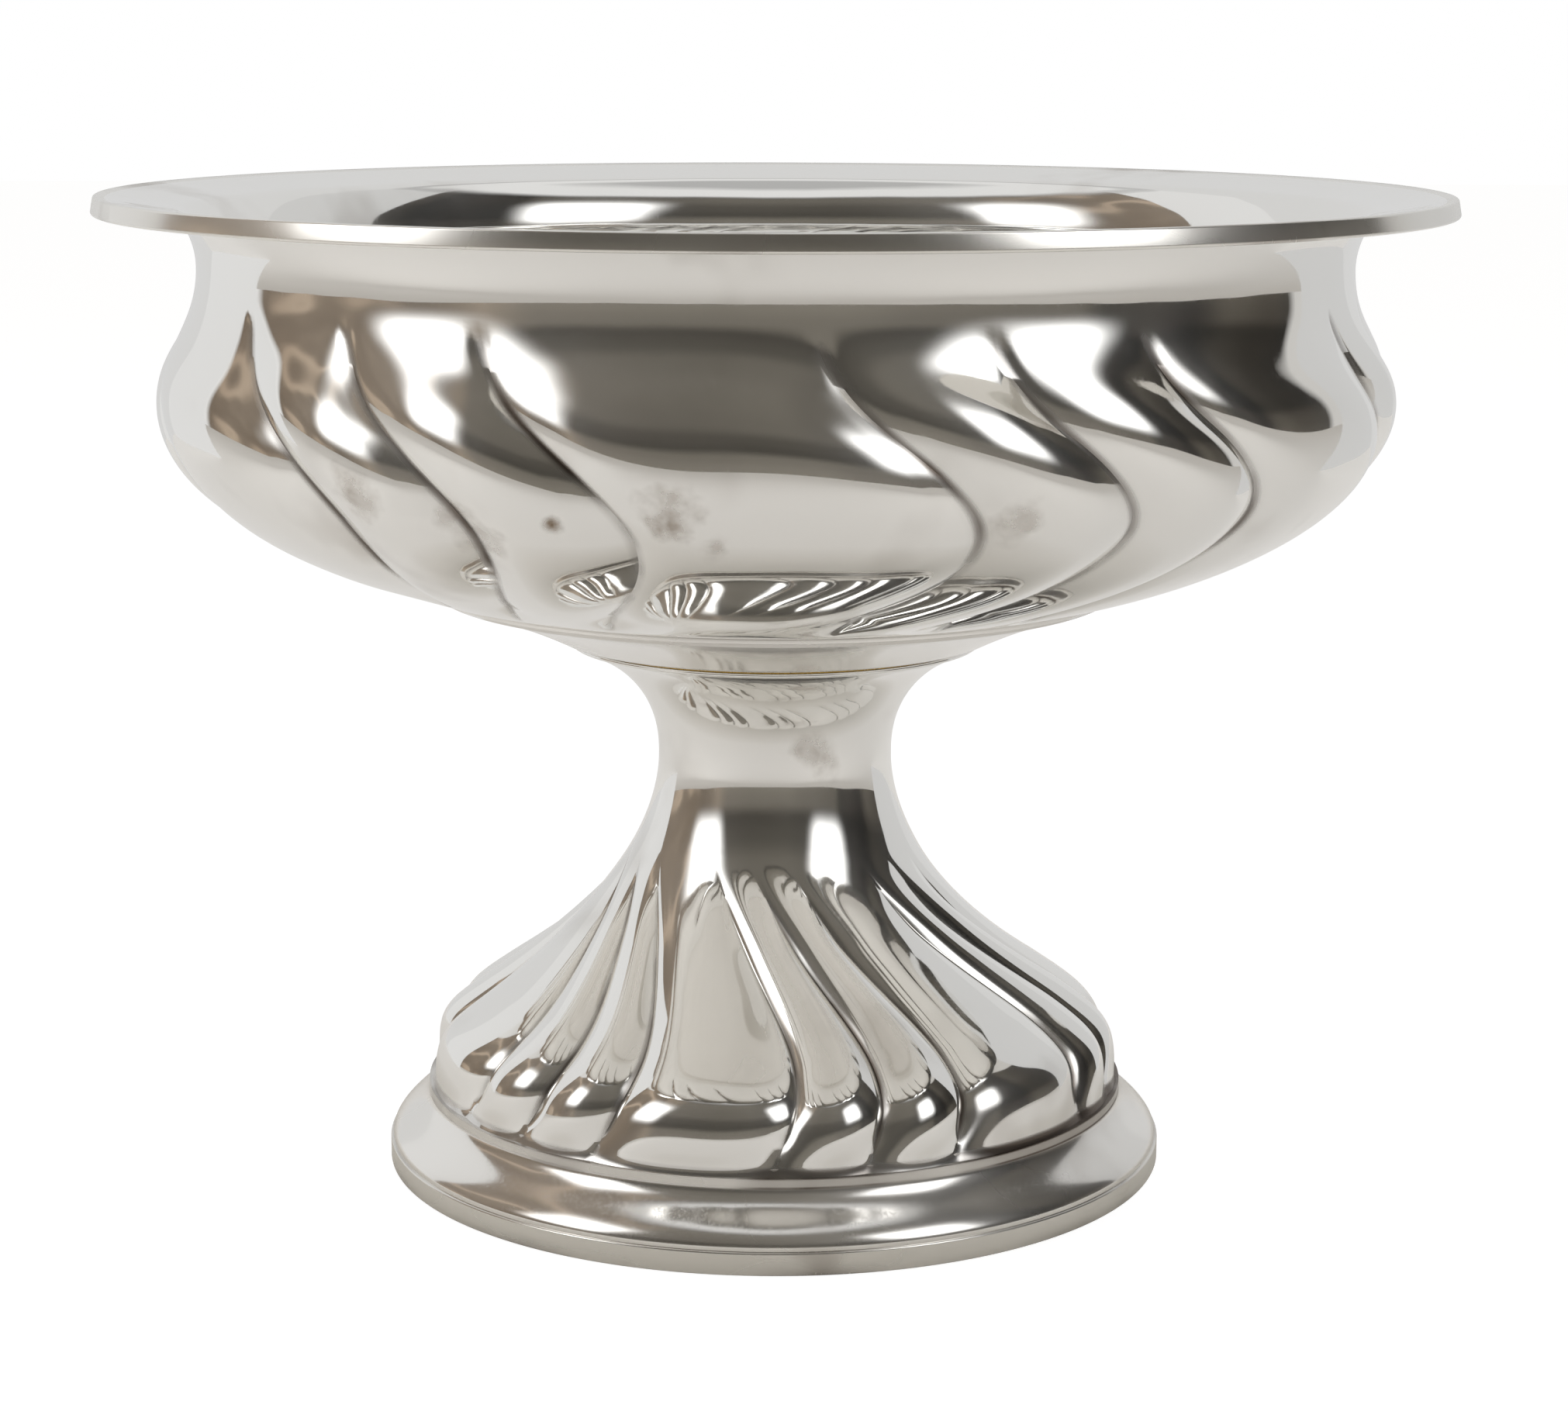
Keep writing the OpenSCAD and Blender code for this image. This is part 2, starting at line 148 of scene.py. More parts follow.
def inner(path, wall):
    """The inner face of a wall whose outer face is the path."""
    return [p - side * wall for p, side in zip(path, normals(path))]


def length_of(path):
    return sum((b - a).length for a, b in zip(path, path[1:]))


# Modelling

MERGE = 2e-6  # metres within which two points are one


def spun(name, section, steps):
    """A ring of points takes the section's shape and is turned once round the axis."""
    bpy.ops.object.select_all(action="DESELECT")
    bpy.ops.mesh.primitive_circle_add(vertices=len(section), radius=10 * MM)
    piece = bpy.context.object
    piece.name = piece.data.name = name
    for corner, point in zip(piece.data.vertices, section):
        corner.co = (0, -point[0] * MM, point[1] * MM)
    turn = piece.modifiers.new("turn", "SCREW")
    turn.steps = turn.render_steps = steps
    turn.use_merge_vertices = True
    turn.merge_threshold = MERGE
    bpy.ops.object.modifier_apply(modifier="turn")
    bpy.ops.object.mode_set(mode="EDIT")
    bpy.ops.mesh.select_all(action="SELECT")
    bpy.ops.mesh.remove_doubles(threshold=MERGE)
    bpy.ops.mesh.normals_make_consistent(inside=False)
    bpy.ops.object.mode_set(mode="OBJECT")
    return piece


def finish_piece(piece, node, material, smooth_angle=35):
    """Smooths a piece up to its edges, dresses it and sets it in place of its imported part."""
    bpy.ops.object.select_all(action="DESELECT")
    piece.select_set(True)
    bpy.context.view_layer.objects.active = piece
    bpy.ops.object.shade_smooth_by_angle(angle=math.radians(smooth_angle))
    piece.data.materials.clear()
    piece.data.materials.append(material)
    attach(piece, "root")
    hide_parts(node)


def places_of(mesh):
    """The places of a mesh's points, one after another, in metres."""
    places = np.empty(len(mesh.vertices) * 3)
    mesh.vertices.foreach_get("co", places)
    return places


# Lobes: two narrow ones and a wide one in each set, six sets round, with creases that swing

LOBE_SHARES = (1, 1, 2)
SET_ANGLE = 60
# Width of a crease's rounded valley, as a share of a narrow lobe, and how narrow its groove is
VALLEY = 0.26
GROOVE_POWER = 12
# Points nearer than this, in millimetres, are on one ring of the mesh
RING_GAP = 0.02


def eased(x):
    x = max(0, min(1, x))
    return x * x * (3 - 2 * x)


def lobe_sections(angles, rounding, fullness):
    """How far the wall is sunk at each angle, and how near it is to a crease: from 0 on the
    crown of a lobe to 1 in its creases. Fullness is for the left and the right of the wide lobes,
    and 2 is a parabola, as the narrow ones are. Rounding fills the valleys."""
    u = angles % SET_ANGLE / SET_ANGLE * sum(LOBE_SHARES)
    sunk, near, start = np.zeros(len(u)), np.zeros(len(u)), 0
    for share in LOBE_SHARES:
        place = np.abs(2 * (u - start) / share - 1)
        # the slack gives a crease's own line of the mesh to the lobe after it
        here = u >= start - 1e-6
        valley = np.clip(1 - (1 - place) * share / VALLEY, 0, 1) ** 2
        left = u - start < share / 2
        power = 2 if share == 1 else np.where(left, fullness[0], fullness[1])
        sunk = np.where(here, place ** power - rounding * valley, sunk)
        near = np.where(here, place ** (GROOVE_POWER * share), near)
        start += share
    return sunk, near


class Lobing:
    """How deep one wall is sunk, and how far its creases have turned, along its length. A body of
    depth makes the lobes, and a narrow groove marks the creases further up than the lobes go.
    Depths and lengths are in millimetres, and both depths are those at the widest radius. Start
    and swing are in degrees round the axis. For back and the fades see below."""

    def __init__(self, total, widest, depth, groove, rounding, fullness, start, swing, back,
                 fade, groove_fade):
        self.total, self.widest, self.depth, self.groove = total, widest, depth, groove
        self.rounding, self.fullness = rounding, fullness
        self.start, self.swing, self.back = start, swing, back
        self.fade, self.groove_fade = fade, groove_fade

    def turned(self, s):
        """Degrees that the creases have turned after a length of s. It is 0 at the run where they
        swing back, and less by the whole swing once they are low or high millimetres away."""
        run, low, high = self.back
        reach = (s - run) / (low if s < run else high)
        return -self.swing * math.sin(math.radians(90 * max(-1, min(1, reach)))) ** 2

    def faded(self, s, fade):
        """How much of a depth is left after a length of s. A fade gives the plain length at the
        lower end, the rise over it, the fall under the upper end, and the plain length there."""
        plain_low, low, high, plain_high = fade
        return eased((s - plain_low) / low) * eased((self.total - s - plain_high) / high)

    def sunk(self, s, r, across, near):
        """Millimetres that the wall is sunk after a length of s, at a radius of r."""
        share = r / self.widest
        return share * (self.depth * self.faded(s, self.fade) * across
                        + self.groove * self.faded(s, self.groove_fade) * near)


def press_lobes(piece, path, wall, lobing, steps):
    """Presses the lobes into a spun wall. Its creases end up along lines of the mesh."""
    mesh = piece.data
    x, y, z = places_of(mesh).reshape(-1, 3).T / MM
    r = np.hypot(x, y)
    # the angle of each point's line of the mesh, from the front
    columns = np.round((np.degrees(np.arctan2(y, x)) + 90) * steps / 360) * 360 / steps
    across, near = lobe_sections(columns, lobing.rounding, lobing.fullness)
    new_r, new_z, creases = r.copy(), z.copy(), np.zeros(len(r))
    # what isn't pressed turns with the nearer end of the wall
    middle = (path[0].y + path[-1].y) / 2
    turns = lobing.start + np.where(z < middle, lobing.turned(0), lobing.turned(lobing.total))
    s = 0
    for i, (point, side) in enumerate(zip(path, normals(path))):
        s += (point - path[i - 1]).length if i else 0
        sunk = lobing.sunk(s, point.x, across, near)
        shown = max(lobing.faded(s, lobing.fade), lobing.faded(s, lobing.groove_fade))
        for face in (point, point - side * wall):
            ring = np.hypot(r - face.x, z - face.y) < RING_GAP
            new_r[ring] = r[ring] - side.x * sunk[ring]
            new_z[ring] = z[ring] - side.y * sunk[ring]
            turns[ring] = lobing.start + lobing.turned(s)
            creases[ring] = shown * near[ring]
    angles = np.radians(columns + turns - 90)
    pressed = np.column_stack((new_r * np.cos(angles), new_r * np.sin(angles), new_z)) * MM
    mesh.vertices.foreach_set("co", pressed.ravel())
    mesh.attributes.new("crease", "FLOAT", "POINT").data.foreach_set("value", creases)
    mesh.update()


def darkened_by_height(piece, marks):
    """Darkens by height with the creases' dark brown: each mark is a height in millimetres and how
    dark the metal is there.
    """
    mesh = piece.data
    soil = np.interp(places_of(mesh)[2::3] / MM, *zip(*marks))
    creases = mesh.attributes.get("crease") or mesh.attributes.new("crease", "FLOAT", "POINT")
    before = np.empty(len(soil))
    creases.data.foreach_get("value", before)
    creases.data.foreach_set("value", np.maximum(before, soil))


# The pieces. The inner wall of each shell has only every second point of the outer one's path.

def flange(lift):
    """The flared neck, its lip and the flat flange, on the side of the sheet that lift gives."""
    centre = Vector((NECK_R + FLARE_R, NECK_Z))
    lip = centre + outward(180 - FLARE_TURN) * (FLARE_R - LIP_R)
    face = (arc(centre, FLARE_R + lift, 180, 180 - FLARE_TURN, steps=12)
            + arc(lip, LIP_R + lift, 180 - FLARE_TURN, 90 + FLANGE_SLOPE)[1:])
    rise = math.tan(math.radians(FLANGE_SLOPE))
    edge = Vector((WIRE_IN_R, face[-1].y + (WIRE_IN_R - face[-1].x) * rise))
    return face[1:-1] + line(face[-1], edge, steps=4) + [edge]


def bowl(material):
    under = curve((BOWL_BASE_R, BOWL_Z), -90, (BELLY_R, BELLY_Z), 0,
                  pulls=(0.002, 0.421), steps=120)
    over = curve((BELLY_R, BELLY_Z), 0, (NECK_R, NECK_Z), 0, pulls=(0.4, 0.44), steps=60)
    path = even(under + over[1:], step=0.9)
    top_of_floor = Vector((0, BOWL_Z + BOWL_WALL))
    section = (line((0, BOWL_Z), path[0], steps=8) + path + flange(0) + flange(BOWL_WALL)[::-1]
               + inner(path, BOWL_WALL)[::-2][:-1]
               + line(path[0] + Vector((0, BOWL_WALL)), top_of_floor, steps=8)
               + [top_of_floor])
    piece = spun("bowl_shell", section, LOBED_STEPS)
    lobing = Lobing(total=length_of(path), widest=BELLY_R, depth=3.0, groove=0.5, rounding=0.2,
                    fullness=(5, 3), start=18, swing=14.3, back=(44.4, 60, 42.4),
                    fade=(1.5, 12, 20, 2), groove_fade=(1.5, 5, 5, 3))
    press_lobes(piece, path, BOWL_WALL, lobing, LOBED_STEPS)
    finish_piece(piece, "bowl", material)


def foot(material):
    skirt = (curve((DOME_R + SKIRT_FLARE, DOME_SEAT_Z), SKIRT_LEAN,
                   (DOME_R, DOME_SEAT_Z + SKIRT_FLARE_TALL), 0, pulls=(0.2, 0.5), steps=5)
             + [Vector((DOME_R, SKIRT_TOP_Z))])
    dome = curve((DOME_R, SKIRT_Z), 0, (SHOULDER_R, SHOULDER_Z), SHOULDER_LEAN,
                 pulls=(0.416, 0.528), steps=60)
    flank = curve((SHOULDER_R, SHOULDER_Z), SHOULDER_LEAN, (FADE_R, FADE_Z), FADE_LEAN,
                  pulls=(0.141, 0.436), steps=80)
    stem = curve((FADE_R, FADE_Z), FADE_LEAN, (WAIST_R, WAIST_Z), 0,
                 pulls=(0.581, 0.081), steps=40)
    trumpet = curve((WAIST_R, WAIST_Z), 0, (MOUTH_R, MOUTH_Z), MOUTH_LEAN,
                    pulls=(0.61, 0.054), steps=80)
    lobed = even(dome + flank[1:], step=0.8)
    path = lobed + even(stem + trumpet[1:], step=1.0)[1:]
    half = FOOT_WALL / 2
    lip = arc(path[-1] - normals(path)[-1] * half, half, MOUTH_LEAN, MOUTH_LEAN + 180)
    section = (skirt + path + lip[1:-1] + inner(path, FOOT_WALL)[::-2]
               + [p - Vector((FOOT_WALL, 0)) for p in skirt[::-1]])
    piece = spun("foot_shell", section, LOBED_STEPS)
    pressed = skirt + lobed
    lobing = Lobing(total=length_of(pressed), widest=DOME_R, depth=2.7, groove=0.3,
                    rounding=0.02, fullness=(3, 3), start=4.2, swing=50, back=(20.1, 103.6, 81),
                    fade=(-3, 11, 18, 1.5), groove_fade=(0.8, 6, 12, 1.5))
    press_lobes(piece, pressed, FOOT_WALL, lobing, LOBED_STEPS)
    # painted shade: the dome's lowest millimetre is darkened where it sits on the moulding
    darkened_by_height(piece, [(DOME_SEAT_Z + 1, 1), (DOME_SEAT_Z + 2, 0)])
    finish_piece(piece, "foot_dome", material)


def collar(material):
    """A shallow dish with a hollow underside, a small step and a lip that the bowl rests on."""
    cove = (curve((COLLAR_FOOT_R, COLLAR_Z), COLLAR_FOOT_LEAN, (COVE_R, COVE_Z), COVE_LEAN,
                  pulls=(0.33, 0.33), steps=24)
            + [Vector((COVE_R, STEP_Z))])
    bore = [p for p in inner(cove, COLLAR_WALL) if COLLAR_Z + COLLAR_WALL < p.y < STEP_Z]
    edge_r = COLLAR_R - COLLAR_EDGE
    piece = spun("collar_dish",
                 [Vector((STUD_HOLE_R, COLLAR_Z))] + cove
                 + arc((edge_r, STEP_Z + COLLAR_EDGE), COLLAR_EDGE, -90, 0, steps=4)
                 + arc((edge_r, BOWL_Z - COLLAR_EDGE), COLLAR_EDGE, 0, 90, steps=4)
                 + [Vector((COVE_R - COLLAR_WALL, BOWL_Z))] + bore[::-1]
                 + [Vector((STUD_HOLE_R, COLLAR_Z + COLLAR_WALL))], TURNED_STEPS)
    finish_piece(piece, "collar", material)


def moulding(material):
    """An upright fascia under the dome, over a shallow ogee that spreads to the band."""
    face = ([Vector((OGEE_R, BAND_Z))]
            + curve((OGEE_R, OGEE_Z), OGEE_LEAN, (FASCIA_R, FASCIA_Z), FASCIA_LEAN,
                    pulls=(0.24, 0.24), steps=28)
            + [Vector((FASCIA_R, z)) for z in (FASCIA_Z + DARK_LINE, DOME_SEAT_Z - DARK_LINE,
                                               DOME_SEAT_Z)])
    shelf = DOME_SEAT_Z - MOULDING_WALL
    lining = [p for p in inner(face, MOULDING_WALL) if BAND_Z < p.y < shelf]
    piece = spun("foot_ogee",
                 face + [Vector((SEAT_IN_R, DOME_SEAT_Z)), Vector((SEAT_IN_R, shelf))]
                 + lining[::-1] + [Vector((OGEE_R - MOULDING_WALL, BAND_Z))], TURNED_STEPS)
    # darker in the crease at the fascia's foot, and painted shade along its top, where the dome sits
    # on it
    darkened_by_height(piece, [(FASCIA_Z - 0.5, 0), (FASCIA_Z, 1), (FASCIA_Z + DARK_LINE, 0.5),
                   (DOME_SEAT_Z - DARK_LINE, 0.5), (DOME_SEAT_Z, 1)])
    finish_piece(piece, "foot_moulding", material)


def wire(material):
    """The edge wire, which stands square to the flange. Its top runs on from the flange's."""
    low, high = (corner.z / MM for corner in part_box("rim_wire"))
    lower = Vector((RIM_R - WIRE_EDGE, low + WIRE_EDGE))
    slant = Vector((-math.tan(math.radians(FLANGE_SLOPE)), 1))
    upper = lower + slant * (high - low - 2 * WIRE_EDGE)
    piece = spun("rim_edge", arc(lower, WIRE_EDGE, -90, FLANGE_SLOPE)
                 + arc(upper, WIRE_EDGE, FLANGE_SLOPE, 90)
                 + [flange(BOWL_WALL)[-1], Vector((WIRE_IN_R, low))], WIRE_STEPS)
    finish_piece(piece, "rim_wire", material, smooth_angle=60)


def band(material):
    """The upright band that the bowl stands on, with rounded edges."""
    inside, outside = BAND_IN_R + BAND_EDGE, FOOT_R - BAND_EDGE
    low, high = BAND_EDGE, BAND_Z - BAND_EDGE
    corners = ((outside, low), (outside, high), (inside, high), (inside, low))
    section = [point for i, corner in enumerate(corners)
               for point in arc(corner, BAND_EDGE, 90 * i - 90, 90 * i)]
    piece = spun("foot_edge", section, TURNED_STEPS)
    darkened_by_height(piece, [(0, 0.6), (low, 0.5), (high, 0), (BAND_Z, 0.5)])
    finish_piece(piece, "foot_band", material, smooth_angle=60)


# Materials: what they are made of

# Sockets of a Mix node that mixes colours
SHARE, FIRST, SECOND, MIXED = 0, 6, 7, 2


def colour(code):
    """An sRGB hex code as linear light."""
    parts = [int(code[i:i + 2], 16) / 255 for i in (0, 2, 4)]
    return [c / 12.92 if c <= 0.04045 else ((c + 0.055) / 1.055) ** 2.4 for c in parts] + [1]


def add(tree, kind, values=None, links=None, **settings):
    """One node with its settings, its fixed values and its incoming links. A link that comes
    from a node comes from its first output."""
    node = tree.nodes.new("ShaderNode" + kind)
    for name, value in settings.items():
        setattr(node, name, value)
    for socket, value in (values or {}).items():
        node.inputs[socket].default_value = value
    for socket, source in (links or {}).items():
        source = source.outputs[0] if isinstance(source, bpy.types.Node) else source
        tree.links.new(source, node.inputs[socket])
    return node


def new_material(name, slot=""):
    material = bpy.data.materials.new(name)
    material.use_nodes = True
    material.node_tree.nodes.clear()
    material["slot"] = slot
    return material


def stops(ramp, marks, mode="LINEAR"):
    """Sets a ramp's marks. Each is a place from 0 to 1, and a hex code or a linear grey."""
    run = ramp.color_ramp
    run.interpolation = mode
    while len(run.elements) < len(marks):
        run.elements.new(0.5)
    for element, (place, shade) in zip(run.elements, marks):
        element.position = place
        element.color = colour(shade) if isinstance(shade, str) else [shade] * 3 + [1]
    return ramp.outputs["Color"]


# The dark brown soil that is left in creases, also the colour of the painted shade at the dome's
# seat
CREASE_SOIL_AND_SEAT_SHADE = "54463a"
# Places on the bowl and foot where the silver is marked: centre and radius in millimetres, and
# how strong the mark is. They are stains, a cluster of pits and clouds of tarnish. The two at 131.7
# and 137 mm high, left of a front crease, are a painted reflection: dark brown shading where a dark
# zone is mirrored.
STAINS_AND_PAINTED_REFLECTION = [((-16.1, -111.8, 139), 7, 0.9), ((-9, -110, 134), 4, 0.5),
          ((-35.3, -106.4, 137.3), 2.2, 1.0), ((-68.4, -90.4, 140), 6, 0.55),
          ((39.7, -104.5, 136.8), 6, 0.4), ((-47.2, -97.1, 131.7), 6, 0.5),
          ((-52, -99, 137), 5, 0.45), ((8.8, -20.9, 83.9), 6, 0.5),
          ((1.6, -22.7, 72.5), 4, 0.35), ((60, 95, 138), 9, 0.6),
          ((-95, 50, 150), 8, 0.5), ((105, 20, 140), 7, 0.5)]


def masked(tree, coords, spots):
    """How strong the spots are: 0 to 1, fading out raggedly from the centre of each. Where the
    noise is at its middle, a spot ends at its radius."""
    total = None
    # ragged edges in bites of 8 mm
    ragged = add(tree, "TexNoise", {"Scale": 130.0, "Detail": 3.0}, {"Vector": coords})
    for centre, r, strength in spots:
        off = add(tree, "VectorMath", {1: [c * MM for c in centre]}, {0: coords},
                  operation="DISTANCE")
        edge = add(tree, "Math", {1: 2.4 * r * MM}, {0: ragged, 2: off.outputs["Value"]},
                   operation="MULTIPLY_ADD")
        spot = add(tree, "MapRange", {"From Min": 2.2 * r * MM, "From Max": r * MM,
                                      "To Max": strength},
                   {"Value": edge}, interpolation_type="SMOOTHSTEP")
        if total is not None:
            spot = add(tree, "Math", links={0: total, 1: spot}, operation="MAXIMUM")
        total = spot
    return total


def spotted(tree, coords, marks, spots):
    """The marks with spots over them, broken up by specks of 3 mm."""
    specks = add(tree, "TexNoise", {"Scale": 330.0, "Detail": 4.0, "Roughness": 0.7},
                 {"Vector": coords})
    broken = add(tree, "MapRange", {"From Min": 0.34, "From Max": 0.62, "To Min": 0.5},
                 {"Value": specks})
    over = add(tree, "Math", links={0: masked(tree, coords, spots), 1: broken},
               operation="MULTIPLY")
    return add(tree, "Math", links={0: marks, 1: over}, operation="MAXIMUM")


def crease_soil_and_seat_shade(tree, clouds):
    """How much dark soil is left where polish never gets in, unevenly along each crease. It also
    carries the darkening by height, which at the dome's seat is painted shade.
    """
    crease = add(tree, "Attribute", attribute_name="crease")
    deep = add(tree, "MapRange", {"From Min": 0.1, "From Max": 0.95},
               {"Value": crease.outputs["Fac"]}, interpolation_type="SMOOTHSTEP")
    uneven = add(tree, "MapRange", {"From Min": 0.42, "From Max": 0.62, "To Min": 0.2,
                                    "To Max": 0.9}, {"Value": clouds})
    return add(tree, "Math", links={0: deep, 1: uneven}, operation="MULTIPLY")


def polished_metal(name, slot, tint, gloss, haze, veil, soil="87745e", grime=0.22, spots=None,
                   creased=True):
    """A mirror under a veil of fine scratches, on metal that its making has left a little wavy.
    Gloss and haze are the mirror's roughness off and on its hairlines, and veil is how much of
    it the scratches take up. Grime is how far the clouds of tarnish turn the tint into soil."""
    material = new_material(name, slot)
    tree = material.node_tree
    coords = add(tree, "TexCoord").outputs["Object"]
    # hairlines, about 0.4 mm apart and 6 mm long, are far finer on the real metal
    drawn = add(tree, "Mapping", {"Scale": (2400, 2400, 160)}, {"Vector": coords})
    hairs = add(tree, "TexNoise", {"Scale": 1.0, "Detail": 1.0}, {"Vector": drawn})
    rough = add(tree, "MapRange", {"From Min": 0.5, "From Max": 0.72, "To Min": gloss,
                                   "To Max": haze}, {"Value": hairs})
    # waves of about 25 mm, 0.3 mm high at most, with slight ones of 8 mm over them
    slow = add(tree, "TexNoise", {"Scale": 40.0, "Detail": 0.0}, {"Vector": coords})
    quick = add(tree, "TexNoise", {"Scale": 125.0, "Detail": 0.0}, {"Vector": coords})
    waves = add(tree, "Math", {1: 0.12}, {0: quick, 2: slow}, operation="MULTIPLY_ADD")
    bump = add(tree, "Bump", {"Strength": 1.0, "Distance": 0.3 * MM}, {"Height": waves})
    # clouds of thin tarnish, 40 mm across
    clouds = add(tree, "TexNoise", {"Scale": 26.0, "Detail": 3.0, "Roughness": 0.55},
                 {"Vector": coords})
    marks = add(tree, "MapRange", {"From Min": 0.56, "From Max": 0.75, "To Max": grime},
                {"Value": clouds}, interpolation_type="SMOOTHSTEP")
    if spots:
        marks = spotted(tree, coords, marks, spots)
    base = add(tree, "Mix", {FIRST: colour(tint), SECOND: colour(soil)}, {SHARE: marks},
               data_type="RGBA").outputs[MIXED]
    dulled = marks
    if creased:
        lined = crease_soil_and_seat_shade(tree, clouds)
        base = add(tree, "Mix", {SECOND: colour(CREASE_SOIL_AND_SEAT_SHADE)}, {SHARE: lined, FIRST: base},
                   data_type="RGBA").outputs[MIXED]
        dulled = add(tree, "Math", links={0: marks, 1: lined}, operation="MAXIMUM")
    # what is marked is duller, and what is scratched scatters light widely
    dull = add(tree, "Math", {1: 0.16}, {0: dulled, 2: rough}, operation="MULTIPLY_ADD")
    mirror = add(tree, "BsdfPrincipled", {"Metallic": 1.0},
                 {"Base Color": base, "Normal": bump, "Roughness": dull})
    scratched = add(tree, "BsdfPrincipled", {"Metallic": 1.0, "Roughness": 0.42},
                    {"Base Color": base})
    # the veil is uneven, and thicker on the marks
    patchy = add(tree, "MapRange", {"From Min": 0.3, "From Max": 0.7, "To Min": veil * 0.5,
                                    "To Max": veil * 1.5}, {"Value": slow})
    share = add(tree, "Math", {1: 0.7}, {0: dulled, 2: patchy}, operation="MULTIPLY_ADD",
                use_clamp=True)
    body = add(tree, "MixShader", links={0: share, 1: mirror, 2: scratched})
    add(tree, "OutputMaterial", links={"Surface": body})
    return material


# Silver sheet, raised over stakes, chased into lobes and polished by hand: a nearly white mirror
# whose pictures waver a little. Stains and a painted reflection along a front crease dull it, and
# the creases keep dark soil.
raised = polished_metal("raised_silver", "polished_silver", tint="f8f7f4",
                        gloss=0.035, haze=0.08, veil=0.08, spots=STAINS_AND_PAINTED_REFLECTION)
# Silver turned and polished on a lathe: a little warmer, and hazy enough to blur what it mirrors.
turned = polished_metal("turned_silver", "polished_silver", tint="f6f4f0",
                        gloss=0.1, haze=0.16, veil=0.2)
# Silver edges that hands and tables have worn: a soft satin shine, with brown soil held in it.
worn = polished_metal("worn_silver", "worn_silver", tint="f3f1ec",
                      gloss=0.2, haze=0.22, veil=0.22, soil="6f5c4b", grime=0.5)
# Turned brass, left as the tool cut it: yellow, with a satin shine and brown tarnish.
brass = polished_metal("turned_brass", "brass", tint="c9a860",
                       gloss=0.25, haze=0.4, veil=0.2, soil="7a6238", creased=False)
# Plain bright steel: a mid grey with a satin shine.
steel = polished_metal("plain_steel", "steel", tint="a8a8a8",
                       gloss=0.3, haze=0.5, veil=0.2, soil="6c6660", creased=False)

bowl(raised)
foot(raised)
collar(turned)
moulding(turned)
wire(worn)
band(worn)
for name, material in (("stud_plate", brass), ("stud", steel), ("stem_cap", brass),
                       ("washer", steel), ("nut", brass)):
    nodes[name].data.materials.clear()
    nodes[name].data.materials.append(material)


# Studio: the silver shows it, so it is built as the bowl would see it. There are two soft boxes,
# a round reflector overhead, white paper under and behind the bowl, and the dim room in front that
# the camera stands in. The camera itself sees only white.

def flat_sheet(name, location, size, face=(0, 0, 0)):
    """A flat sheet of the studio, alike on both faces. Its width and depth are in metres."""
    bpy.ops.object.select_all(action="DESELECT")
    bpy.ops.mesh.primitive_plane_add(size=1, location=location, rotation=face)
    piece = bpy.context.object
    piece.name = name
    piece.scale = (*size, 1)
    return piece


def panel(name, location, size, face, material):
    """A sheet that the camera doesn't see."""
    piece = flat_sheet(name, location, size, face)
    piece.data.materials.append(material)
    piece.visible_camera = False


def softbox(name, azimuth, distance, height, size, material, down=25):
    """A lamp to one side of the camera. It looks down at the bowl by so many degrees."""
    a = math.radians(azimuth)
    panel(name, (distance * math.sin(a), -distance * math.cos(a), height), size,
          (math.radians(90 - down), 0, a), material)


def glow(name, strength, edge=None):
    """A white surface that gives light: lamp cloth, or paper that a lamp shines on. One with an
    edge fades out over that share of its width on all four sides, with round corners."""
    material = new_material(name)
    tree = material.node_tree
    light = add(tree, "Emission", {"Color": colour("ffffff"), "Strength": strength})
    if edge:
        # the fourth root of x^4 + y^4 makes rounded squares, and is 0.5 on the sheet's sides
        place = add(tree, "TexCoord").outputs["Object"]
        squares = add(tree, "VectorMath", links={0: place, 1: place}, operation="MULTIPLY")
        off = add(tree, "VectorMath", links={0: squares}, operation="LENGTH").outputs["Value"]
        off = add(tree, "Math", {1: 0.5}, {0: off}, operation="POWER")
        fade = add(tree, "MapRange", {"From Min": 0.5, "From Max": 0.5 - edge}, {"Value": off},
                   interpolation_type="SMOOTHSTEP")
        share = add(tree, "Math", {1: 2.0}, {0: fade}, operation="POWER")
        light = add(tree, "MixShader", links={0: share, 1: add(tree, "BsdfTransparent"),
                                              2: light})
    add(tree, "OutputMaterial", links={"Surface": light})
    return material


def ring_glow():
    """White cloth stretched on a hoop and lit from below: a soft ring of light with a dim
    middle, and nothing beyond the hoop."""
    material = new_material("reflector_cloth")
    tree = material.node_tree
    off = add(tree, "VectorMath", links={0: add(tree, "TexCoord").outputs["Object"]},
              operation="LENGTH").outputs["Value"]
    level = stops(add(tree, "ValToRGB", links={"Fac": off}),
                  [(0.16, "b4b4b4"), (0.24, "e4e4e4"), (0.38, "e4e4e4"), (0.48, "000000")])
    light = add(tree, "Emission", {"Strength": 1.0}, {"Color": level})
    cover = add(tree, "MapRange", {"From Min": 0.48, "From Max": 0.4}, {"Value": off})
    both = add(tree, "MixShader", links={0: cover, 1: add(tree, "BsdfTransparent"), 2: light})
    add(tree, "OutputMaterial", links={"Surface": both})
    return material


